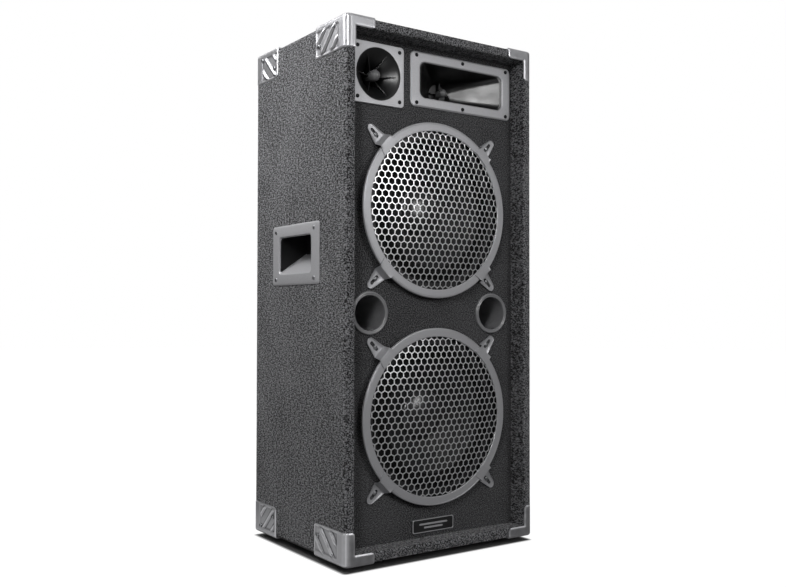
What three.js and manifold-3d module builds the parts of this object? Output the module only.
// A floor-standing PA loudspeaker: two 10 inch woofers behind round grilles, a bullet
// tweeter and a midrange horn on a recessed baffle, in a carpeted box with steel corners.
// Millimetres, +Z up, front facing -Y, origin on the floor under the middle of the box.

import * as THREE from 'three';
import { mergeVertices } from 'three/addons/utils/BufferGeometryUtils.js';
import { RoundedBoxGeometry } from 'three/addons/geometries/RoundedBoxGeometry.js';
import Module from 'manifold-3d';

// ---------------------------------------------------------------- driving sizes

// The box, measured over its carpet
const cabinetWidth = 357;
const cabinetDepth = 288;
const cabinetHeight = 792;
const cabinetEdgeRadius = 8;
const boardThickness = 12;
const carpetThickness = 1.4;
const baffleRecess = 32;          // front edge of the box back to the baffle's carpet

// Air between pieces that touch
const seatGap = 0.3;

// Steel corners
const steelThickness = 1.2;
const cornerWidthLeg = 49;
const cornerHeightLeg = 48;
const frontCornerDepthLeg = 88;
const rearCornerDepthLeg = 77;
const cornerPlateRadius = 6;

// Rubber feet
const footHeight = 9.5;
const footTopRadius = 19;
const footBottomRadius = 17;
const footScrewRadius = 6;
const footScrewDepth = 5;
const footFromSide = 70;
const footFromFrontAndBack = 40;

// Woofers, measured back from the baffle's carpet
const wooferRimRadius = 127;
const wooferRimThickness = 1.5;
const wooferFromTop = 270.9;
const wooferFromBottom = 201.3;
const wooferCutoutClearance = 2;
const basketWall = 1.8;
const basketDepth = 60.5;
const spiderLedgeDepth = 44.5;
const spiderLedgeRadius = 75;
const spiderLedgeWidth = 10;
const rollRadius = 6;
const surroundThickness = 0.8;
const surroundBondWidth = 6;
const coneThickness = 1;
const coneDepth = 39;
const dustCapRadius = 40;
const dustCapRise = 14;
const capThickness = 0.8;
const coilRadius = 25.2;
const coilFormerThickness = 0.5;
const coilWindingThickness = 0.8;
const coilOverhang = 4;
const magnetGap = 0.7;
const frontPlateRadius = 52;
const frontPlateThickness = 8;
const magnetRadius = 58;
const magnetThickness = 18;
const magnetHoleRadius = 31;
const yokeThickness = 6;
const poleVentRadius = 8;
const spiderThickness = 0.8;
const spiderWave = 1.6;
const basketWindowCount = 6;

// Grilles
const grilleOverlap = 10;         // grille rim beyond the woofer rim
const grilleProud = 12;           // rim front ahead of the baffle's carpet
const grilleRimWidth = 13;
const grilleSheet = 1.2;
const grilleDome = 9;

// Grille clamps
const clampReach = 35;            // tip beyond the grille rim
const clampRimGap = 2;            // grille rim to the top of the sloping web
const clampTipRadius = 6.5;
const clampBaseHalfWidth = 17.5;
const clampSheet = 1.5;
const clampFootLength = 28;       // flat foot on the baffle, outside the sloping web
const clampSlotLength = 18;
const clampSlotFromTip = 9.5;     // tip to the middle of the slot's outer end
const clampSlotWidth = 5.5;

// Tweeter
const tweeterFlangeSize = 93;
const tweeterFlangeRadius = 6;
const tweeterFromLeft = 74.4;
const hornsTopGap = 24.6;         // top of both flanges below the top of the box
const tweeterMouthRadius = 39.5;
const tweeterHornDepth = 36;
const tweeterThroatRadius = 11;
const tweeterVaneCount = 6;
const tweeterVaneThickness = 1.6;
const bulletRadius = 8.5;
const bulletSetBack = 3;
const tweeterDriverRadius = 31;
const tweeterDriverDepth = 26;

// Midrange horn
const hornFlangeWidth = 204;
const hornFlangeHeight = 86;
const hornFlangeRadius = 9;
const hornFromRight = 121.1;
const hornMouthWidth = 167;
const hornMouthHeight = 55;
const hornMouthRadius = 10;
const hornDepth = 68;
const hornThroatRadius = 17;
const hornPlugRadius = 7.5;
const hornPlugSetBack = 46;
const hornVaneThickness = 2;
const hornDriverRadius = 38;
const hornDriverDepth = 42;
const flangeThickness = 3;
const mouldedWall = 2.5;
const cutoutClearance = 1;

// Bass reflex ports
const portLipRadius = 32.7;
const portLipProud = 3.4;
const portBoreRadius = 26;
const portWall = 2;
const portLength = 112;
const portFromCentre = 118.5;

// Badge plate
const badgeWidth = 80;
const badgeHeight = 21.6;
const badgeThickness = 2;
const badgeFromBottom = 33.2;

// Side handles
const handleWidth = 149;
const handleHeight = 95;
const handleProud = 3;
const handleEdge = 1;              // square edge below the bevel
const handleBevel = 3.5;
const handleCornerRadius = 5;
const handleMouthWidth = 102;
const handleMouthHeight = 57;
const handleCupDepth = 48;
const handleFloorRise = 33;
const handlePocketRise = 11;      // finger pocket above the mouth
const handleWall = 2;
const handleAbovePorts = 91;      // middle of the mouth above the ports' middle
const handleBehindMiddle = 5;

// Rear terminal cup
const cupPlateWidth = 140;
const cupPlateHeight = 104;
const cupPlateRadius = 8;
const cupMouthWidth = 112;
const cupMouthHeight = 76;
const cupDepth = 26;
const cupPlateProud = 1.2;
const cupFromBottom = 360;
const cupWall = 2.5;
const jackSpacing = 32;
const jackBodyRadius = 8.5;
const jackNutRadius = 8;
const jackBoreRadius = 3.3;
const jackHeight = 5;
const jackDepth = 24;
const jackRise = 19;
const leverBlockWidth = 52;
const leverBlockHeight = 30;
const leverBlockDepth = 7;
const leverDrop = 17;
const leverSpacing = 24;
const leverWidth = 15;
const leverLength = 20;
const leverThickness = 4;
const leverLean = 24;             // degrees that a lever stands off its block
const leverPivotGap = 1.2;
const leverSideGap = 0.5;
const leverEarWidth = 2;
const leverPinRadius = 1;
const leverPinReach = 1.5;
const leverPinClearance = 0.3;

// Crossover board behind the terminal cup
const boardWidth = 120;
const boardHeight = 84;
const boardSheet = 1.6;
const boardStandOff = 8;
const boardDrop = 118;            // board centre below the terminal cup's centre

// Facets
const roundFacets = 24;
const wooferFacets = 24;
const portFacets = 20;
const innerFacets = 14;

// ---------------------------------------------------------------- derived places

const cabinetBottom = footHeight;
const cabinetTop = footHeight + cabinetHeight;
const halfWidth = cabinetWidth / 2;
const halfDepth = cabinetDepth / 2;
const skin = carpetThickness + seatGap;
const boardOuterX = halfWidth - skin;
const boardInnerX = boardOuterX - boardThickness;
const boardFrontY = -halfDepth + skin;
const boardBackY = halfDepth - skin;
const boardBottomZ = cabinetBottom + skin;
const boardTopZ = cabinetTop - skin;
const innerBottomZ = boardBottomZ + boardThickness;
const innerTopZ = boardTopZ - boardThickness;
const lipWidth = boardThickness + 2 * skin;
const baffleFaceY = -halfDepth + baffleRecess;
const baffleFrontY = baffleFaceY + skin;
const baffleBackY = baffleFrontY + boardThickness;
const backInnerY = boardBackY - boardThickness;

const wooferHeights = {
  upper: cabinetTop - wooferFromTop,
  lower: cabinetBottom + wooferFromBottom,
};
const wooferCutoutRadius = wooferRimRadius - 12;
const coneEdgeRadius = wooferRimRadius - 33;
const rollOuterRadius = coneEdgeRadius + 2 * rollRadius;
const coilOuterRadius = coilRadius + coilFormerThickness + coilWindingThickness;
const gapRadius = coilOuterRadius + magnetGap;
const poleRadius = coilRadius - magnetGap;
const frontPlateBack = basketDepth + frontPlateThickness;
const magnetFront = frontPlateBack + seatGap;
const magnetBack = magnetFront + magnetThickness;
const yokeFront = magnetBack + seatGap;
const yokeBack = yokeFront + yokeThickness;

const grilleRimRadius = wooferRimRadius + grilleOverlap;
const grilleMeshRadius = grilleRimRadius - grilleRimWidth;

const tweeterX = -halfWidth + tweeterFromLeft;
const tweeterZ = cabinetTop - hornsTopGap - tweeterFlangeSize / 2;
const hornX = halfWidth - hornFromRight;
const hornZ = cabinetTop - hornsTopGap - hornFlangeHeight / 2;
const portZ = (wooferHeights.upper + wooferHeights.lower) / 2;
const portTubeRadius = portBoreRadius + portWall;
const badgeZ = cabinetBottom + badgeFromBottom;
const handleZ = portZ + handleAbovePorts;
const handleY = handleBehindMiddle;
const cupZ = cabinetBottom + cupFromBottom;
const handleCutout = {
  halfWidth: handleMouthWidth / 2 + handleWall + cutoutClearance,
  below: handleMouthHeight / 2 + handleWall + cutoutClearance,
  above: handleMouthHeight / 2 + handlePocketRise + handleWall + cutoutClearance,
};
const cupCutout = {
  halfWidth: cupMouthWidth / 2 + cupWall + cutoutClearance,
  halfHeight: cupMouthHeight / 2 + cupWall + cutoutClearance,
};

// ---------------------------------------------------------------- solids

const wasm = await Module();
wasm.setup();

// Turns a closed geometry's faces outward when they face inward.
function outward(positions, triangles) {
  let volume = 0;
  const a = new THREE.Vector3();
  const b = new THREE.Vector3();
  const c = new THREE.Vector3();
  for (let i = 0; i < triangles.length; i += 3) {
    a.fromArray(positions, 3 * triangles[i]);
    b.fromArray(positions, 3 * triangles[i + 1]);
    c.fromArray(positions, 3 * triangles[i + 2]);
    volume += a.dot(b.cross(c));
  }
  if (volume < 0) triangles.reverse();
  return triangles;
}

// A manifold solid from a closed three.js geometry.
function solidFrom(geometry) {
  geometry.deleteAttribute('normal');
  geometry.deleteAttribute('uv');
  const merged = mergeVertices(geometry, 1e-4);
  const positions = Float32Array.from(merged.attributes.position.array);
  const corners = merged.index.array;
  const kept = [];
  for (let i = 0; i < corners.length; i += 3) {
    const [p, q, r] = [corners[i], corners[i + 1], corners[i + 2]];
    if (p !== q && q !== r && r !== p) kept.push(p, q, r);
  }
  const triVerts = Uint32Array.from(outward(positions, kept));
  return new wasm.Manifold(new wasm.Mesh({ numProp: 3, vertProperties: positions, triVerts }));
}

function geometryFrom(solid) {
  const mesh = solid.getMesh();
  const geometry = new THREE.BufferGeometry();
  geometry.setAttribute('position', new THREE.BufferAttribute(mesh.vertProperties, 3));
  geometry.setIndex(new THREE.BufferAttribute(mesh.triVerts, 1));
  geometry.computeVertexNormals();
  return geometry;
}

function joined(solids) {
  return solids.reduce((sum, solid) => sum.add(solid));
}

function block([x0, x1], [y0, y1], [z0, z1]) {
  const geometry = new THREE.BoxGeometry(x1 - x0, y1 - y0, z1 - z0);
  geometry.translate((x0 + x1) / 2, (y0 + y1) / 2, (z0 + z1) / 2);
  return solidFrom(geometry);
}

// The whole box grown by an offset, with its rounded outside edges.
function roundedCabinet(grow, facets = 2) {
  const geometry = new RoundedBoxGeometry(
    cabinetWidth + 2 * grow,
    cabinetDepth + 2 * grow,
    cabinetHeight + 2 * grow,
    facets,
    cabinetEdgeRadius + grow,
  );
  geometry.translate(0, 0, (cabinetBottom + cabinetTop) / 2);
  return solidFrom(geometry);
}

// A round bar along Y.
function drum(radius, y0, y1, facets = roundFacets, [x, z] = [0, 0]) {
  const geometry = new THREE.CylinderGeometry(radius, radius, y1 - y0, facets);
  geometry.translate(x, (y0 + y1) / 2, z);
  return solidFrom(geometry);
}

// A ring or bowl turned about the Y axis from a closed outline of [radius, y] points.
function turned(outline, facets = roundFacets) {
  const points = outline.map(([radius, y]) => new THREE.Vector2(radius, y));
  const onAxis = outline[0][0] === 0 && outline[outline.length - 1][0] === 0;
  if (!onAxis) points.push(points[0].clone());
  return solidFrom(new THREE.LatheGeometry(points, facets));
}

function rectangle([u0, u1], [v0, v1], radius = 0) {
  const shape = new THREE.Shape();
  if (radius === 0) {
    shape.moveTo(u0, v0).lineTo(u1, v0).lineTo(u1, v1).lineTo(u0, v1);
    return shape;
  }
  shape.moveTo(u0 + radius, v0);
  shape.lineTo(u1 - radius, v0).absarc(u1 - radius, v0 + radius, radius, -Math.PI / 2, 0);
  shape.lineTo(u1, v1 - radius).absarc(u1 - radius, v1 - radius, radius, 0, Math.PI / 2);
  shape.lineTo(u0 + radius, v1).absarc(u0 + radius, v1 - radius, radius, Math.PI / 2, Math.PI);
  shape.lineTo(u0, v0 + radius).absarc(u0 + radius, v0 + radius, radius, Math.PI, 1.5 * Math.PI);
  return shape;
}

// Extrusions of an outline: in XZ along Y, in YZ along X, in XY along Z.
function alongY(shape, [y0, y1], facets = 4) {
  const settings = { depth: y1 - y0, bevelEnabled: false, curveSegments: facets };
  const geometry = new THREE.ExtrudeGeometry(shape, settings);
  geometry.rotateX(Math.PI / 2);
  geometry.translate(0, y1, 0);
  return solidFrom(geometry);
}

function alongX(shape, [x0, x1], facets = 4) {
  const settings = { depth: x1 - x0, bevelEnabled: false, curveSegments: facets };
  const geometry = new THREE.ExtrudeGeometry(shape, settings);
  const axes = new THREE.Matrix4().makeBasis(
    new THREE.Vector3(0, 1, 0),
    new THREE.Vector3(0, 0, 1),
    new THREE.Vector3(1, 0, 0),
  );
  geometry.applyMatrix4(axes);
  geometry.translate(x0, 0, 0);
  return solidFrom(geometry);
}

function alongZ(shape, [z0, z1], facets = 4) {
  const settings = { depth: z1 - z0, bevelEnabled: false, curveSegments: facets };
  const geometry = new THREE.ExtrudeGeometry(shape, settings);
  geometry.translate(0, 0, z0);
  return solidFrom(geometry);
}

function polygon(points) {
  return new THREE.Shape(points.map(([u, v]) => new THREE.Vector2(u, v)));
}

// A skin through rings of the same number of points, closed by a flat cap at each end.
function lofted(rings) {
  const count = rings[0].length;
  const positions = [];
  for (const ring of rings) {
    for (const point of ring) positions.push(...point);
  }
  const triangles = [];
  for (let k = 0; k < rings.length - 1; k += 1) {
    for (let i = 0; i < count; i += 1) {
      const a = k * count + i;
      const b = k * count + ((i + 1) % count);
      triangles.push(a, b, b + count, a, b + count, a + count);
    }
  }
  for (const [ring, start] of [[rings[0], 0], [rings.at(-1), (rings.length - 1) * count]]) {
    const hub = positions.length / 3;
    for (let axis = 0; axis < 3; axis += 1) {
      positions.push(ring.reduce((sum, point) => sum + point[axis], 0) / count);
    }
    for (let i = 0; i < count; i += 1) {
      const [p, q] = [start + i, start + ((i + 1) % count)];
      triangles.push(...(start === 0 ? [q, p, hub] : [p, q, hub]));
    }
  }
  const geometry = new THREE.BufferGeometry();
  geometry.setAttribute('position', new THREE.Float32BufferAttribute(positions, 3));
  geometry.setIndex(triangles);
  return solidFrom(geometry);
}

// ---------------------------------------------------------------- named meshes

const speaker = new THREE.Group();

const finishes = {
  board: { color: 0x6e5a43, roughness: 0.85, metalness: 0 },
  sideCarpet: { color: 0x4c4c4e, roughness: 1, metalness: 0 },
  baffleCarpet: { color: 0x232325, roughness: 1, metalness: 0 },
  platedSteel: { color: 0xb9bbbd, roughness: 0.35, metalness: 1 },
  handlePaint: { color: 0x9a9b9d, roughness: 0.4, metalness: 0.6 },
  rubber: { color: 0x17171a, roughness: 0.8, metalness: 0 },
  basketSteel: { color: 0x26272a, roughness: 0.5, metalness: 0.6 },
  foam: { color: 0x1b1b1d, roughness: 0.9, metalness: 0 },
  paper: { color: 0x2c2c2f, roughness: 0.8, metalness: 0 },
  cloth: { color: 0xb08a4a, roughness: 0.9, metalness: 0 },
  copper: { color: 0xb87333, roughness: 0.4, metalness: 0.9 },
  ferrite: { color: 0x3a3a3c, roughness: 0.6, metalness: 0.1 },
  zincSteel: { color: 0x9ea2a6, roughness: 0.4, metalness: 1 },
  grilleSteel: { color: 0xa4a6a9, roughness: 0.4, metalness: 0.9 },
  silverPlastic: { color: 0xa9abad, roughness: 0.35, metalness: 0.5 },
  blackPlastic: { color: 0x101012, roughness: 0.3, metalness: 0 },
  portPlastic: { color: 0x4a4b4e, roughness: 0.4, metalness: 0.2 },
  badgePlate: { color: 0x2b2c2f, roughness: 0.3, metalness: 0.4 },
  redPlastic: { color: 0xb3161b, roughness: 0.4, metalness: 0 },
  circuitBoard: { color: 0x2f6b3c, roughness: 0.6, metalness: 0 },
};

function add(name, solid, finish, position = [0, 0, 0], parent = speaker) {
  const mesh = new THREE.Mesh(
    geometryFrom(solid),
    new THREE.MeshStandardMaterial(finishes[finish]),
  );
  mesh.name = name;
  mesh.position.set(...position);
  parent.add(mesh);
  return mesh;
}

// ---------------------------------------------------------------- cabinet boards

// Boards are routed round at the outside, so the carpet turns the edges smoothly.
const boardEnvelope = roundedCabinet(-skin);

function handleHole() {
  const across = [handleY - handleCutout.halfWidth, handleY + handleCutout.halfWidth];
  const upright = [handleZ - handleCutout.below, handleZ + handleCutout.above];
  return block([-cabinetWidth, cabinetWidth], across, upright);
}

function cupHole() {
  return block(
    [-cupCutout.halfWidth, cupCutout.halfWidth],
    [0, cabinetDepth],
    [cupZ - cupCutout.halfHeight, cupZ + cupCutout.halfHeight],
  );
}

// Everything that passes through the baffle: two woofers, two ports, tweeter and horn.
function baffleHoles() {
  const along = [baffleFaceY - carpetThickness, baffleBackY + seatGap];
  const holes = Object.values(wooferHeights).map((z) => (
    drum(wooferCutoutRadius, ...along, roundFacets, [0, z])
  ));
  for (const side of [-1, 1]) {
    const centre = [side * portFromCentre, portZ];
    holes.push(drum(portTubeRadius + cutoutClearance, ...along, innerFacets, centre));
  }
  const tweeterHole = tweeterMouthRadius + mouldedWall + cutoutClearance;
  holes.push(drum(tweeterHole, ...along, roundFacets, [tweeterX, tweeterZ]));
  const reachX = hornMouthWidth / 2 + mouldedWall + cutoutClearance;
  const reachZ = hornMouthHeight / 2 + mouldedWall + cutoutClearance;
  holes.push(block([hornX - reachX, hornX + reachX], along, [hornZ - reachZ, hornZ + reachZ]));
  return joined(holes);
}

function addBoards() {
  const fullY = [boardFrontY, boardBackY];
  const between = [-boardInnerX + seatGap, boardInnerX - seatGap];
  const inside = [innerBottomZ + seatGap, innerTopZ - seatGap];
  const left = block([-boardOuterX, -boardInnerX], fullY, [boardBottomZ, boardTopZ]);
  const right = block([boardInnerX, boardOuterX], fullY, [boardBottomZ, boardTopZ]);
  const top = block(between, fullY, [innerTopZ, boardTopZ]);
  const bottom = block(between, fullY, [boardBottomZ, innerBottomZ]);
  const back = block(between, [backInnerY, boardBackY], inside);
  const baffle = block(between, [baffleFrontY, baffleBackY], inside);
  add('left_panel', left.intersect(boardEnvelope).subtract(handleHole()), 'board');
  add('right_panel', right.intersect(boardEnvelope).subtract(handleHole()), 'board');
  add('top_panel', top.intersect(boardEnvelope), 'board');
  add('bottom_panel', bottom.intersect(boardEnvelope), 'board');
  add('back_panel', back.intersect(boardEnvelope).subtract(cupHole()), 'board');
  add('front_baffle', baffle.subtract(baffleHoles()), 'board');
}

// ---------------------------------------------------------------- carpet

// One wrapped covering: over the outside, round the front edge and down the lip's
// inner face as far as the baffle.
function cabinetCarpet() {
  const liningX = halfWidth - lipWidth + carpetThickness;
  const openingX = halfWidth - lipWidth;
  const liningZ = [
    cabinetBottom + lipWidth - carpetThickness,
    cabinetTop - lipWidth + carpetThickness,
  ];
  const openingZ = [cabinetBottom + lipWidth, cabinetTop - lipWidth];
  const liningY = [-halfDepth, baffleFaceY - seatGap];
  const lining = block([-liningX, liningX], liningY, liningZ);
  const opening = block([-openingX, openingX], [-cabinetDepth, baffleFaceY], openingZ);
  const hollow = roundedCabinet(-carpetThickness).subtract(lining);
  return roundedCabinet(0)
    .subtract(hollow)
    .subtract(opening)
    .subtract(handleHole())
    .subtract(cupHole());
}

function addCarpets() {
  add('cabinet_carpet', cabinetCarpet(), 'sideCarpet');
  const reachX = boardInnerX - seatGap;
  const sheet = block(
    [-reachX, reachX],
    [baffleFaceY, baffleFaceY + carpetThickness],
    [innerBottomZ + seatGap, innerTopZ - seatGap],
  );
  add('baffle_carpet', sheet.subtract(baffleHoles()), 'baffleCarpet');
}

// ---------------------------------------------------------------- steel corners

// The stretch from just outside a face of the box to a leg's length inside it.
function reach(face, direction, length) {
  const margin = 3 * steelThickness + cornerPlateRadius;
  const ends = [face + direction * margin, face - direction * length];
  return ends.sort((p, q) => p - q);
}

// side: -1 left, 1 right. end: -1 front, 1 rear. level: -1 bottom, 1 top.
function steelCorner(side, end, level) {
  const x = side * halfWidth;
  const y = end * halfDepth;
  const z = level > 0 ? cabinetTop : cabinetBottom;
  const bend = cabinetEdgeRadius;
  const depthLeg = end < 0 ? frontCornerDepthLeg : rearCornerDepthLeg;
  const alongDepth = reach(y, end, depthLeg);
  const alongHeight = reach(z, level, cornerHeightLeg);
  const alongWidth = reach(x, side, cornerWidthLeg);
  const sidePlate = rectangle(alongDepth, alongHeight, cornerPlateRadius);
  const flatPlate = rectangle(alongWidth, alongDepth, cornerPlateRadius);
  const footprint = [
    alongX(sidePlate, reach(x, side, bend)),
    alongZ(flatPlate, reach(z, level, bend)),
  ];
  if (end < 0) {
    const upright = rectangle(reach(x, side, lipWidth), alongHeight, cornerPlateRadius);
    const crosswise = rectangle(alongWidth, reach(z, level, lipWidth), cornerPlateRadius);
    footprint.push(alongY(upright, reach(y, end, bend)));
    footprint.push(alongY(crosswise, reach(y, end, bend)));
  } else {
    const facePlate = rectangle(alongWidth, alongHeight, cornerPlateRadius);
    footprint.push(alongY(facePlate, reach(y, end, bend)));
  }
  const shell = roundedCabinet(seatGap + steelThickness).subtract(roundedCabinet(seatGap));
  return shell.intersect(joined(footprint));
}

function addCorners() {
  for (const [endName, end] of [['front', -1], ['rear', 1]]) {
    for (const [levelName, level] of [['top', 1], ['bottom', -1]]) {
      for (const [sideName, side] of [['left', -1], ['right', 1]]) {
        const name = `corner_${endName}_${levelName}_${sideName}`;
        add(name, steelCorner(side, end, level), 'platedSteel');
      }
    }
  }
}

// ---------------------------------------------------------------- handles and feet

// A rounded rectangle of points in a plane of constant x.
function frameRing(width, height, radius, x) {
  const ring = [];
  const perCorner = 3;
  for (let corner = 0; corner < 4; corner += 1) {
    const start = (corner * Math.PI) / 2;
    const signY = corner === 0 || corner === 3 ? 1 : -1;
    const signZ = corner < 2 ? 1 : -1;
    for (let i = 0; i <= perCorner; i += 1) {
      const angle = start + ((Math.PI / 2) * i) / perCorner;
      const y = signY * (width / 2 - radius) + radius * Math.cos(angle);
      const z = signZ * (height / 2 - radius) + radius * Math.sin(angle);
      ring.push([x, y, z]);
    }
  }
  return ring;
}

// A recessed handle, with x measured outward from the carpet and its mouth centred at 0,0.
// The scoop's floor rises inward and fingers curl up into a pocket behind the top bar.
function recessedHandle(side) {
  const plate = lofted([
    frameRing(handleWidth, handleHeight, handleCornerRadius, side * seatGap),
    frameRing(handleWidth, handleHeight, handleCornerRadius, side * (seatGap + handleEdge)),
    frameRing(
      handleWidth - 2 * handleBevel,
      handleHeight - 2 * handleBevel,
      handleCornerRadius - handleBevel / 2,
      side * (seatGap + handleProud),
    ),
  ]);
  const [halfY, halfZ] = [handleMouthWidth / 2, handleMouthHeight / 2];
  const pocketTop = halfZ + handlePocketRise;
  const cupFace = side * (seatGap + handleProud / 4);
  const cupBack = -side * (handleCupDepth + handleWall);
  const cup = alongY(polygon([
    [cupFace, -halfZ - handleWall],
    [cupBack, -halfZ - handleWall + handleFloorRise],
    [cupBack, pocketTop + handleWall],
    [cupFace, pocketTop + handleWall],
  ]), [-halfY - handleWall, halfY + handleWall]);
  const hollow = alongY(polygon([
    [side * 2 * handleProud, -halfZ],
    [0, -halfZ],
    [-side * handleCupDepth, -halfZ + handleFloorRise],
    [-side * handleCupDepth, pocketTop],
    [-side * handleWall, pocketTop],
    [-side * handleWall, halfZ],
    [side * 2 * handleProud, halfZ],
  ]), [-halfY, halfY]);
  return plate.add(cup).subtract(hollow);
}

function addHandles() {
  for (const [name, side] of [['left', -1], ['right', 1]]) {
    const place = [side * halfWidth, handleY, handleZ];
    add(`handle_${name}`, recessedHandle(side), 'handlePaint', place);
  }
}

function rubberFoot() {
  return turned([
    [footScrewRadius, footScrewDepth],
    [footScrewRadius, 0],
    [footBottomRadius, 0],
    [footTopRadius, footHeight / 2],
    [footTopRadius, footHeight - seatGap],
    [footScrewRadius / 2, footHeight - seatGap],
    [footScrewRadius / 2, footScrewDepth],
  ], innerFacets);
}

function addFeet() {
  for (const [endName, end] of [['front', -1], ['rear', 1]]) {
    for (const [sideName, side] of [['left', -1], ['right', 1]]) {
      const foot = add(`foot_${endName}_${sideName}`, rubberFoot(), 'rubber');
      foot.rotation.x = Math.PI / 2;
      foot.position.set(
        side * (halfWidth - footFromSide),
        end * (halfDepth - footFromFrontAndBack),
        0,
      );
    }
  }
}

// ---------------------------------------------------------------- woofers

// y = 0 is the baffle's carpet and the magnet lies towards +y.

// Pressed steel basket with windows, and the magnet's front plate riveted to it.
function wooferBasket() {
  const rimBack = -seatGap;
  const rimFront = rimBack - wooferRimThickness;
  const throat = wooferCutoutRadius - wooferCutoutClearance;
  const neck = throat - 9;
  const neckDepth = 8;
  const ledgeInner = spiderLedgeRadius - spiderLedgeWidth;
  const bowl = turned([
    [wooferRimRadius, rimFront],
    [wooferRimRadius, rimBack],
    [throat, rimBack],
    [neck + basketWall, neckDepth],
    [spiderLedgeRadius + basketWall, spiderLedgeDepth + basketWall],
    [ledgeInner + basketWall, spiderLedgeDepth + basketWall],
    [frontPlateRadius, basketDepth + basketWall],
    [frontPlateRadius, frontPlateBack],
    [gapRadius, frontPlateBack],
    [gapRadius, basketDepth],
    [frontPlateRadius - 1, basketDepth],
    [ledgeInner, spiderLedgeDepth],
    [spiderLedgeRadius, spiderLedgeDepth],
    [neck, neckDepth],
    [throat - basketWall, rimFront],
  ], wooferFacets);
  const windows = [];
  const [inner, outer] = [spiderLedgeRadius + 4, neck - 3];
  const spread = Math.PI / basketWindowCount - 0.13;
  for (let k = 0; k < basketWindowCount; k += 1) {
    const turn = (2 * Math.PI * k) / basketWindowCount;
    const slot = new THREE.Shape();
    slot.absarc(0, 0, outer, turn - spread, turn + spread, false);
    slot.absarc(0, 0, inner, turn + spread, turn - spread, true);
    windows.push(alongY(slot, [neckDepth, spiderLedgeDepth + 2 * basketWall], 2));
  }
  return bowl.subtract(joined(windows));
}

// A half roll of foam between the cone's edge and the rim.
function wooferSurround() {
  const back = -seatGap - wooferRimThickness - seatGap;
  const front = back - surroundThickness;
  const centre = (coneEdgeRadius + rollOuterRadius) / 2;
  const arc = (radius, from, to) => {
    const steps = 3;
    const points = [];
    for (let i = 0; i <= steps; i += 1) {
      const angle = Math.PI * (from + ((to - from) * i) / steps);
      points.push([centre + radius * Math.cos(angle), back - radius * Math.sin(angle)]);
    }
    return points;
  };
  const outerRoll = arc(rollRadius, 0, 1);
  const innerRoll = arc(rollRadius - surroundThickness, 1, 0);
  return turned([
    [rollOuterRadius + surroundBondWidth, back],
    [rollOuterRadius + surroundBondWidth, front],
    ...outerRoll.map(([r, y]) => [r, Math.min(y, front)]),
    [coneEdgeRadius - surroundBondWidth, front],
    [coneEdgeRadius - surroundBondWidth, back],
    ...innerRoll,
  ], wooferFacets);
}

// How far behind the cone's edge its front surface lies, for a slightly curved cone.
function coneSag(radius) {
  const inner = coilRadius + coilFormerThickness + seatGap;
  const share = (coneEdgeRadius - radius) / (coneEdgeRadius - inner);
  return coneDepth * (0.85 * share + 0.15 * share * share);
}

const coneFront = -seatGap - wooferRimThickness;

function wooferCone() {
  const inner = coilRadius + coilFormerThickness + seatGap;
  const radii = [];
  const steps = 4;
  for (let i = 0; i <= steps; i += 1) {
    radii.push(coneEdgeRadius + ((inner - coneEdgeRadius) * i) / steps);
  }
  const front = radii.map((r) => [r, coneFront + coneSag(r)]);
  const back = radii.map((r) => [r, coneFront + coneSag(r) + coneThickness]).reverse();
  return turned([...front, ...back], wooferFacets);
}

// A round cap standing on the cone.
function wooferDustCap() {
  const seat = coneFront + coneSag(dustCapRadius) - seatGap;
  const steps = 4;
  const dome = (lift, radius) => {
    const points = [];
    for (let i = 0; i <= steps; i += 1) {
      const share = i / steps;
      points.push([radius * share, seat - lift * (1 - share * share)]);
    }
    return points;
  };
  const outer = dome(dustCapRise, dustCapRadius).map(([r, y]) => [r, y - capThickness]);
  const inner = dome(dustCapRise, dustCapRadius).reverse();
  return turned([...outer, ...inner], innerFacets);
}

// Former and winding, reaching from the cone's neck through the magnet's gap.
function wooferVoiceCoil() {
  const former = coilRadius + coilFormerThickness;
  const neck = coneFront + coneSag(former + seatGap) - 1;
  const windingStart = basketDepth - coilOverhang;
  const windingEnd = frontPlateBack + coilOverhang;
  return turned([
    [coilRadius, neck],
    [former, neck],
    [former, windingStart],
    [coilOuterRadius, windingStart],
    [coilOuterRadius, windingEnd],
    [coilRadius, windingEnd],
  ], innerFacets);
}

// Corrugated cloth that centres the coil.
function wooferSpider() {
  const inner = coilRadius + coilFormerThickness + seatGap;
  const middle = spiderLedgeDepth - seatGap - spiderThickness;
  const waveStart = inner + 4;
  const waveEnd = spiderLedgeRadius - spiderLedgeWidth - 1;
  const steps = 4;
  const line = (offset) => {
    const points = [[inner, middle + offset]];
    for (let i = 0; i <= steps; i += 1) {
      const radius = waveStart + ((waveEnd - waveStart) * i) / steps;
      points.push([radius, middle + offset + spiderWave * (i % 2 === 0 ? -1 : 1)]);
    }
    points.push([spiderLedgeRadius - 1, middle + offset]);
    return points;
  };
  return turned([...line(0), ...line(spiderThickness).reverse()], innerFacets);
}

function wooferMagnet() {
  return turned([
    [magnetHoleRadius, magnetFront],
    [magnetRadius - 2, magnetFront],
    [magnetRadius, magnetFront + 2],
    [magnetRadius, magnetBack - 2],
    [magnetRadius - 2, magnetBack],
    [magnetHoleRadius, magnetBack],
  ], innerFacets);
}

// Back plate and vented pole in one turned piece.
function wooferYoke() {
  return turned([
    [poleVentRadius, basketDepth],
    [poleRadius, basketDepth],
    [poleRadius, yokeFront],
    [frontPlateRadius, yokeFront],
    [frontPlateRadius, yokeBack - 1],
    [frontPlateRadius - 1, yokeBack],
    [poleVentRadius, yokeBack],
  ], innerFacets);
}

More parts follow.
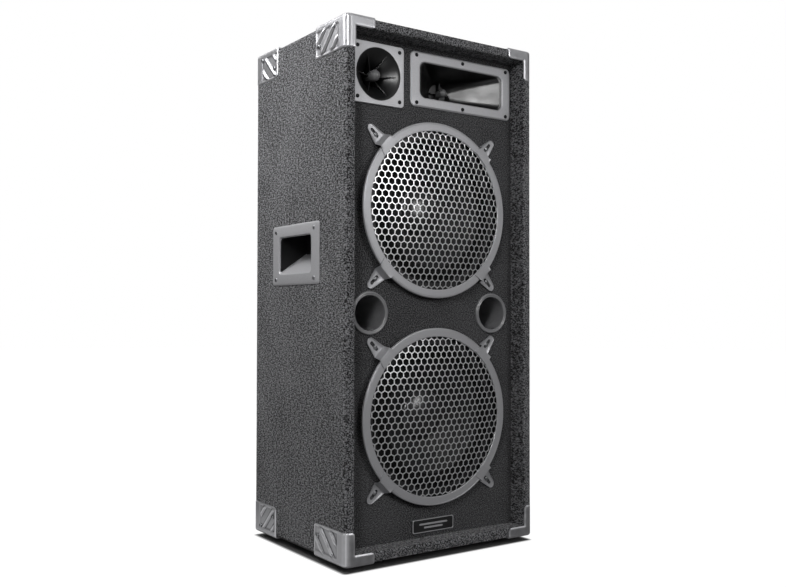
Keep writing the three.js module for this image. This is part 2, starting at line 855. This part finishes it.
function addWoofers() {
  for (const [name, z] of Object.entries(wooferHeights)) {
    const place = [0, baffleFaceY, z];
    const prefix = `woofer_${name}`;
    add(`${prefix}_basket`, wooferBasket(), 'basketSteel', place);
    add(`${prefix}_surround`, wooferSurround(), 'foam', place);
    add(`${prefix}_cone`, wooferCone(), 'paper', place);
    add(`${prefix}_dust_cap`, wooferDustCap(), 'paper', place);
    add(`${prefix}_spider`, wooferSpider(), 'cloth', place);
    add(`${prefix}_voice_coil`, wooferVoiceCoil(), 'copper', place);
    add(`${prefix}_magnet`, wooferMagnet(), 'ferrite', place);
    add(`${prefix}_yoke`, wooferYoke(), 'zincSteel', place);
  }
}

// ---------------------------------------------------------------- grilles and clamps

// A domed steel disc with a rolled rim; its perforations are left plain here.
function grille() {
  const front = -grilleProud;
  const back = -seatGap;
  const roll = 2.5;
  const steps = 4;
  const dome = (offset) => {
    const points = [];
    for (let i = 0; i <= steps; i += 1) {
      const share = i / steps;
      const lift = grilleDome * (1 - share * share);
      points.push([grilleMeshRadius * share, front + grilleSheet - lift + offset]);
    }
    return points;
  };
  return turned([
    ...dome(0),
    [grilleMeshRadius + roll / 2, front],
    [grilleRimRadius - roll, front],
    [grilleRimRadius - roll / 3, front + roll / 3],
    [grilleRimRadius, front + roll],
    [grilleRimRadius, back],
    [grilleRimRadius - grilleSheet, back],
    [grilleRimRadius - grilleSheet, front + roll],
    [grilleRimRadius - roll - grilleSheet, front + grilleSheet],
    ...dome(grilleSheet).reverse(),
  ]);
}

// A tapering bracket: a slotted foot screwed to the baffle, a web sloping up to the
// grille's rim and a tongue over it. Built along +X from the grille's centre, then turned.
function grilleClamp() {
  const tip = grilleRimRadius + clampReach;
  const footEnd = tip - clampFootLength;
  const riser = grilleRimRadius + clampRimGap;
  const hookEnd = grilleMeshRadius;
  const footFront = -seatGap - clampSheet;
  const hookBack = -grilleProud - seatGap;
  const hookFront = hookBack - clampSheet;
  const section = polygon([
    [tip, -seatGap],
    [tip, footFront],
    [footEnd, footFront],
    [riser + clampSheet, hookFront],
    [hookEnd, hookFront],
    [hookEnd, hookBack],
    [riser, hookBack],
    [footEnd - clampSheet, -seatGap],
  ]);
  const folded = alongZ(section, [-2 * clampBaseHalfWidth, 2 * clampBaseHalfWidth]);
  const lean = Math.asin((clampBaseHalfWidth - clampTipRadius) / (tip - hookEnd));
  const outline = new THREE.Shape();
  outline.moveTo(hookEnd, clampBaseHalfWidth);
  outline.lineTo(hookEnd, -clampBaseHalfWidth);
  outline.absarc(tip - clampTipRadius, 0, clampTipRadius, lean - Math.PI / 2, Math.PI / 2 - lean);
  const slot = new THREE.Shape();
  const slotOuter = tip - clampSlotFromTip;
  const slotInner = slotOuter - clampSlotLength + clampSlotWidth;
  slot.absarc(slotOuter, 0, clampSlotWidth / 2, -Math.PI / 2, Math.PI / 2);
  slot.absarc(slotInner, 0, clampSlotWidth / 2, Math.PI / 2, 1.5 * Math.PI);
  const tall = [-3 * grilleProud, 0];
  const footSlot = alongY(slot, [-2 * grilleProud, 0]);
  return folded.intersect(alongY(outline, tall, 6)).subtract(footSlot);
}

function addGrilles() {
  const turns = { top_right: 45, top_left: 135, bottom_left: 225, bottom_right: 315 };
  for (const [name, z] of Object.entries(wooferHeights)) {
    const place = [0, baffleFaceY, z];
    add(`grille_${name}`, grille(), 'grilleSteel', place);
    for (const [where, degrees] of Object.entries(turns)) {
      const clamp = add(`clamp_${name}_${where}`, grilleClamp(), 'platedSteel', place);
      clamp.rotation.y = -THREE.MathUtils.degToRad(degrees);
    }
  }
}

// ---------------------------------------------------------------- tweeter and horn

// Square flange, round flare, six radial vanes and a bullet plug in one moulding.
function tweeterHorn() {
  const front = -seatGap - flangeThickness;
  const half = tweeterFlangeSize / 2;
  const plate = alongY(
    rectangle([-half, half], [-half, half], tweeterFlangeRadius),
    [front, -seatGap],
  );
  const steps = 4;
  const flare = (wall) => {
    const points = [];
    for (let i = 0; i <= steps; i += 1) {
      const share = i / steps;
      const radius = tweeterThroatRadius
        + (tweeterMouthRadius - tweeterThroatRadius) * (1 - share) ** 1.6;
      points.push([radius + wall, front + tweeterHornDepth * share]);
    }
    return points;
  };
  const cup = turned([...flare(mouldedWall), ...flare(0).reverse()]);
  const bulletFront = front + bulletSetBack;
  const bulletBack = front + tweeterHornDepth;
  const bullet = turned([
    [0, bulletFront],
    [bulletRadius * 0.6, bulletFront + 2],
    [bulletRadius * 0.92, bulletFront + 6],
    [bulletRadius, bulletFront + 12],
    [bulletRadius * 0.7, bulletBack],
    [0, bulletBack],
  ], innerFacets);
  const vanes = [];
  const cavity = turned([[0, front + 4], ...flare(mouldedWall / 2).slice(0), [0, bulletBack]]);
  for (let k = 0; k < tweeterVaneCount; k += 1) {
    const angle = (2 * Math.PI * k) / tweeterVaneCount;
    const vane = new THREE.BoxGeometry(tweeterMouthRadius, tweeterHornDepth, tweeterVaneThickness);
    vane.translate(tweeterMouthRadius / 2 + bulletRadius / 2, 0, 0);
    vane.rotateY(angle);
    vane.translate(0, front + 5 + tweeterHornDepth / 2, 0);
    vanes.push(solidFrom(vane));
  }
  const mouth = drum(tweeterMouthRadius, front - 1, 0);
  return plate.subtract(mouth).add(cup).add(joined(vanes).intersect(cavity)).add(bullet);
}

function tweeterDriver() {
  const start = -seatGap - flangeThickness + tweeterHornDepth + seatGap;
  return turned([
    [0, start],
    [tweeterDriverRadius, start],
    [tweeterDriverRadius, start + tweeterDriverDepth / 2],
    [tweeterDriverRadius - 5, start + tweeterDriverDepth / 2],
    [tweeterDriverRadius - 5, start + tweeterDriverDepth],
    [0, start + tweeterDriverDepth],
  ], innerFacets);
}

// A ring of points that changes from a rounded rectangle to a circle.
function mouthRing(width, height, radius, y, count = 32) {
  const ring = [];
  for (let i = 0; i < count; i += 1) {
    const angle = (2 * Math.PI * (i + 0.5)) / count;
    const [c, s] = [Math.cos(angle), Math.sin(angle)];
    const x = Math.sign(c) * (width / 2 - radius) + radius * c;
    const z = Math.sign(s) * (height / 2 - radius) + radius * s;
    ring.push([x, y, z]);
  }
  return ring;
}

// Rectangular flange and flare, with a plug held in the throat by a cross of vanes.
function hornFlare() {
  const front = -seatGap - flangeThickness;
  const plate = alongY(
    rectangle(
      [-hornFlangeWidth / 2, hornFlangeWidth / 2],
      [-hornFlangeHeight / 2, hornFlangeHeight / 2],
      hornFlangeRadius,
    ),
    [front, -seatGap],
  );
  const rings = (wall, extra) => {
    const list = [];
    const steps = 4;
    for (let i = 0; i <= steps; i += 1) {
      const share = i / steps;
      const opening = (1 - share) ** 1.5;
      const width = 2 * hornThroatRadius + (hornMouthWidth - 2 * hornThroatRadius) * opening;
      const height = 2 * hornThroatRadius + (hornMouthHeight - 2 * hornThroatRadius) * opening;
      const radius = hornThroatRadius + (hornMouthRadius - hornThroatRadius) * (1 - share);
      const y = front + hornDepth * share + (i === 0 ? -extra : 0) + (i === steps ? extra : 0);
      list.push(mouthRing(width + 2 * wall, height + 2 * wall, radius + wall, y));
    }
    return list;
  };
  const shell = lofted(rings(mouldedWall, 0));
  const hollow = lofted(rings(0, 1));
  const plugFront = front + hornPlugSetBack;
  const plugBack = front + hornDepth;
  const plug = turned([
    [0, plugFront],
    [hornPlugRadius * 0.7, plugFront + 3],
    [hornPlugRadius, plugFront + 9],
    [hornPlugRadius * 0.8, plugBack],
    [0, plugBack],
  ], innerFacets);
  const vaneReach = hornThroatRadius + mouldedWall / 2;
  const vaneY = [plugBack - 14, plugBack];
  const thin = [-hornVaneThickness / 2, hornVaneThickness / 2];
  const wide = [-vaneReach, vaneReach];
  const cross = block(wide, vaneY, thin).add(block(thin, vaneY, wide));
  const held = cross.intersect(drum(vaneReach, ...vaneY));
  return plate.add(shell).subtract(hollow).add(held).add(plug);
}

function hornDriver() {
  const start = -seatGap - flangeThickness + hornDepth + seatGap;
  return turned([
    [0, start],
    [hornDriverRadius * 0.6, start],
    [hornDriverRadius, start + 8],
    [hornDriverRadius, start + hornDriverDepth - 10],
    [hornDriverRadius - 6, start + hornDriverDepth - 10],
    [hornDriverRadius - 6, start + hornDriverDepth],
    [0, start + hornDriverDepth],
  ], innerFacets);
}

function addHorns() {
  const tweeterPlace = [tweeterX, baffleFaceY, tweeterZ];
  const hornPlace = [hornX, baffleFaceY, hornZ];
  add('tweeter_horn', tweeterHorn(), 'silverPlastic', tweeterPlace);
  add('tweeter_driver', tweeterDriver(), 'blackPlastic', tweeterPlace);
  add('midrange_horn', hornFlare(), 'silverPlastic', hornPlace);
  add('midrange_driver', hornDriver(), 'ferrite', hornPlace);
}

// ---------------------------------------------------------------- ports and badge

// A flared tube: rounded lip on the baffle, straight bore into the box.
function reflexPort() {
  const front = -portLipProud;
  return turned([
    [portBoreRadius, portLength],
    [portBoreRadius, 8],
    [portBoreRadius + 1.2, 2],
    [portBoreRadius + 3, front],
    [portLipRadius - 1.5, front],
    [portLipRadius, front + 1.5],
    [portLipRadius, -seatGap],
    [portTubeRadius, -seatGap],
    [portTubeRadius, portLength],
  ], portFacets);
}

function addPortsAndBadge() {
  for (const [name, side] of [['left', -1], ['right', 1]]) {
    const place = [side * portFromCentre, baffleFaceY, portZ];
    add(`port_${name}`, reflexPort(), 'portPlastic', place);
  }
  const [halfX, halfZ] = [badgeWidth / 2, badgeHeight / 2];
  const plate = alongY(
    rectangle([-halfX, halfX], [-halfZ, halfZ], 1.5),
    [-seatGap - badgeThickness, -seatGap],
  );
  add('badge_plate', plate, 'badgePlate', [0, baffleFaceY, badgeZ]);
}

// ---------------------------------------------------------------- rear terminals

// y = 0 is the carpet's back face and the dish reaches in towards -y.
const cupFloor = -cupDepth;
const leverPivotZ = -leverDrop - leverBlockHeight / 2 + 4;
const leverPivotY = cupFloor + leverBlockDepth + leverPivotGap + leverThickness / 2;

// Moulded dish with a raised block for the levers, and two holes for the sockets.
function terminalCup() {
  const plate = alongY(
    rectangle(
      [-cupPlateWidth / 2, cupPlateWidth / 2],
      [-cupPlateHeight / 2, cupPlateHeight / 2],
      cupPlateRadius,
    ),
    [seatGap, seatGap + cupPlateProud],
  );
  const [halfX, halfZ] = [cupMouthWidth / 2, cupMouthHeight / 2];
  const tub = block(
    [-halfX - cupWall, halfX + cupWall],
    [cupFloor - cupWall, seatGap + cupPlateProud / 2],
    [-halfZ - cupWall, halfZ + cupWall],
  );
  const hollow = block([-halfX, halfX], [cupFloor, 2 * cupPlateProud], [-halfZ, halfZ]);
  const holes = [-1, 1].map((side) => (
    drum(
      jackBodyRadius - 2 + seatGap,
      cupFloor - 2 * cupWall,
      cupFloor + 1,
      innerFacets,
      [(side * jackSpacing) / 2, jackRise],
    )
  ));
  const leverBlock = block(
    [-leverBlockWidth / 2, leverBlockWidth / 2],
    [cupFloor - cupWall / 2, cupFloor + leverBlockDepth],
    [-leverDrop - leverBlockHeight / 2, -leverDrop + leverBlockHeight / 2],
  );
  return plate
    .add(tub)
    .subtract(hollow)
    .subtract(joined(holes))
    .add(leverBlock)
    .add(leverEars());
}

// A round bar along X.
function crossBar(radius, [x0, x1], [y, z], facets = 8) {
  const geometry = new THREE.CylinderGeometry(radius, radius, x1 - x0, facets);
  geometry.rotateZ(Math.PI / 2);
  geometry.translate((x0 + x1) / 2, y, z);
  return solidFrom(geometry);
}

// Three ears on the block, bored for the levers' pins.
function leverEars() {
  const inner = leverSpacing / 2 - leverWidth / 2 - leverSideGap;
  const outer = leverSpacing / 2 + leverWidth / 2 + leverSideGap;
  const earY = [cupFloor + leverBlockDepth / 2, leverPivotY + 3];
  const earZ = [leverPivotZ - 3, leverPivotZ + 3];
  const ears = [[-inner, inner], [outer, outer + leverEarWidth], [-outer - leverEarWidth, -outer]]
    .map((earX) => block(earX, earY, earZ));
  const boreRadius = leverPinRadius + leverPinClearance;
  const bore = crossBar(boreRadius, [-leverBlockWidth, leverBlockWidth], [leverPivotY, leverPivotZ]);
  return joined(ears).subtract(bore);
}

// Two quarter inch sockets: a nut each outside the dish and one moulded body inside.
function jackSockets() {
  const neck = jackBodyRadius - 2;
  const pieces = [-1, 1].map((side) => {
    const centre = [(side * jackSpacing) / 2, jackRise];
    const nut = drum(jackNutRadius, cupFloor + seatGap, cupFloor + jackHeight, 6, centre);
    const bush = drum(neck, cupFloor - 2 * cupWall, cupFloor + jackHeight, innerFacets, centre);
    return nut.add(bush);
  });
  const back = cupFloor - cupWall - seatGap;
  const body = block(
    [-jackSpacing / 2 - jackBodyRadius, jackSpacing / 2 + jackBodyRadius],
    [back - jackDepth, back],
    [jackRise - jackBodyRadius, jackRise + jackBodyRadius],
  );
  const bores = [-1, 1].map((side) => (
    drum(
      jackBoreRadius,
      back - jackDepth + 3,
      cupFloor + 2 * jackHeight,
      12,
      [(side * jackSpacing) / 2, jackRise],
    )
  ));
  return joined(pieces).add(body).subtract(joined(bores));
}

// A spring lever, pinned along X at its lower end and standing off its block.
function terminalLever() {
  const half = leverThickness / 2;
  const side = polygon([
    [-half, 0],
    [0, -half],
    [half, 0],
    [half, leverLength - 4],
    [half + 2, leverLength],
    [-half, leverLength],
  ]);
  const pinEnd = leverWidth / 2 + leverSideGap + leverPinReach;
  const pins = crossBar(leverPinRadius, [-pinEnd, pinEnd], [0, 0]);
  return alongX(side, [-leverWidth / 2, leverWidth / 2]).add(pins);
}

function addTerminals() {
  const cup = [0, halfDepth, cupZ];
  add('terminal_cup', terminalCup(), 'blackPlastic', cup);
  add('jack_sockets', jackSockets(), 'zincSteel', cup);
  const sides = { red: 1, black: -1 };
  for (const [colour, side] of Object.entries(sides)) {
    const finish = colour === 'red' ? 'redPlastic' : 'blackPlastic';
    const place = [(side * leverSpacing) / 2, halfDepth + leverPivotY, cupZ + leverPivotZ];
    const lever = add(`terminal_lever_${colour}`, terminalLever(), finish, place);
    lever.rotation.x = -THREE.MathUtils.degToRad(leverLean);
  }
}

// Crossover on a circuit board: two coils and two capacitors, on four stand-offs.
function crossover() {
  const front = -boardStandOff - boardSheet;
  const sheet = block(
    [-boardWidth / 2, boardWidth / 2],
    [front, -boardStandOff],
    [-boardHeight / 2, boardHeight / 2],
  );
  const parts = [sheet];
  for (const x of [-1, 1]) {
    for (const z of [-1, 1]) {
      const post = [x * (boardWidth / 2 - 8), z * (boardHeight / 2 - 8)];
      parts.push(drum(3, -boardStandOff - 0.5, 0, 8, post));
    }
  }
  parts.push(drum(16, front - 18, front + 0.5, innerFacets, [-30, 14]));
  parts.push(drum(12, front - 14, front + 0.5, innerFacets, [32, 18]));
  parts.push(block([-45, -13], [front - 13, front + 0.5], [-30, -17]));
  parts.push(block([12, 44], [front - 11, front + 0.5], [-28, -17]));
  return joined(parts);
}

// ---------------------------------------------------------------- assembly

addBoards();
addCarpets();
addCorners();
addHandles();
addFeet();
addWoofers();
addGrilles();
addHorns();
addPortsAndBadge();
addTerminals();
const boardPlace = [0, backInnerY - seatGap, cupZ - boardDrop];
add('crossover_board', crossover(), 'circuitBoard', boardPlace);

export default speaker;
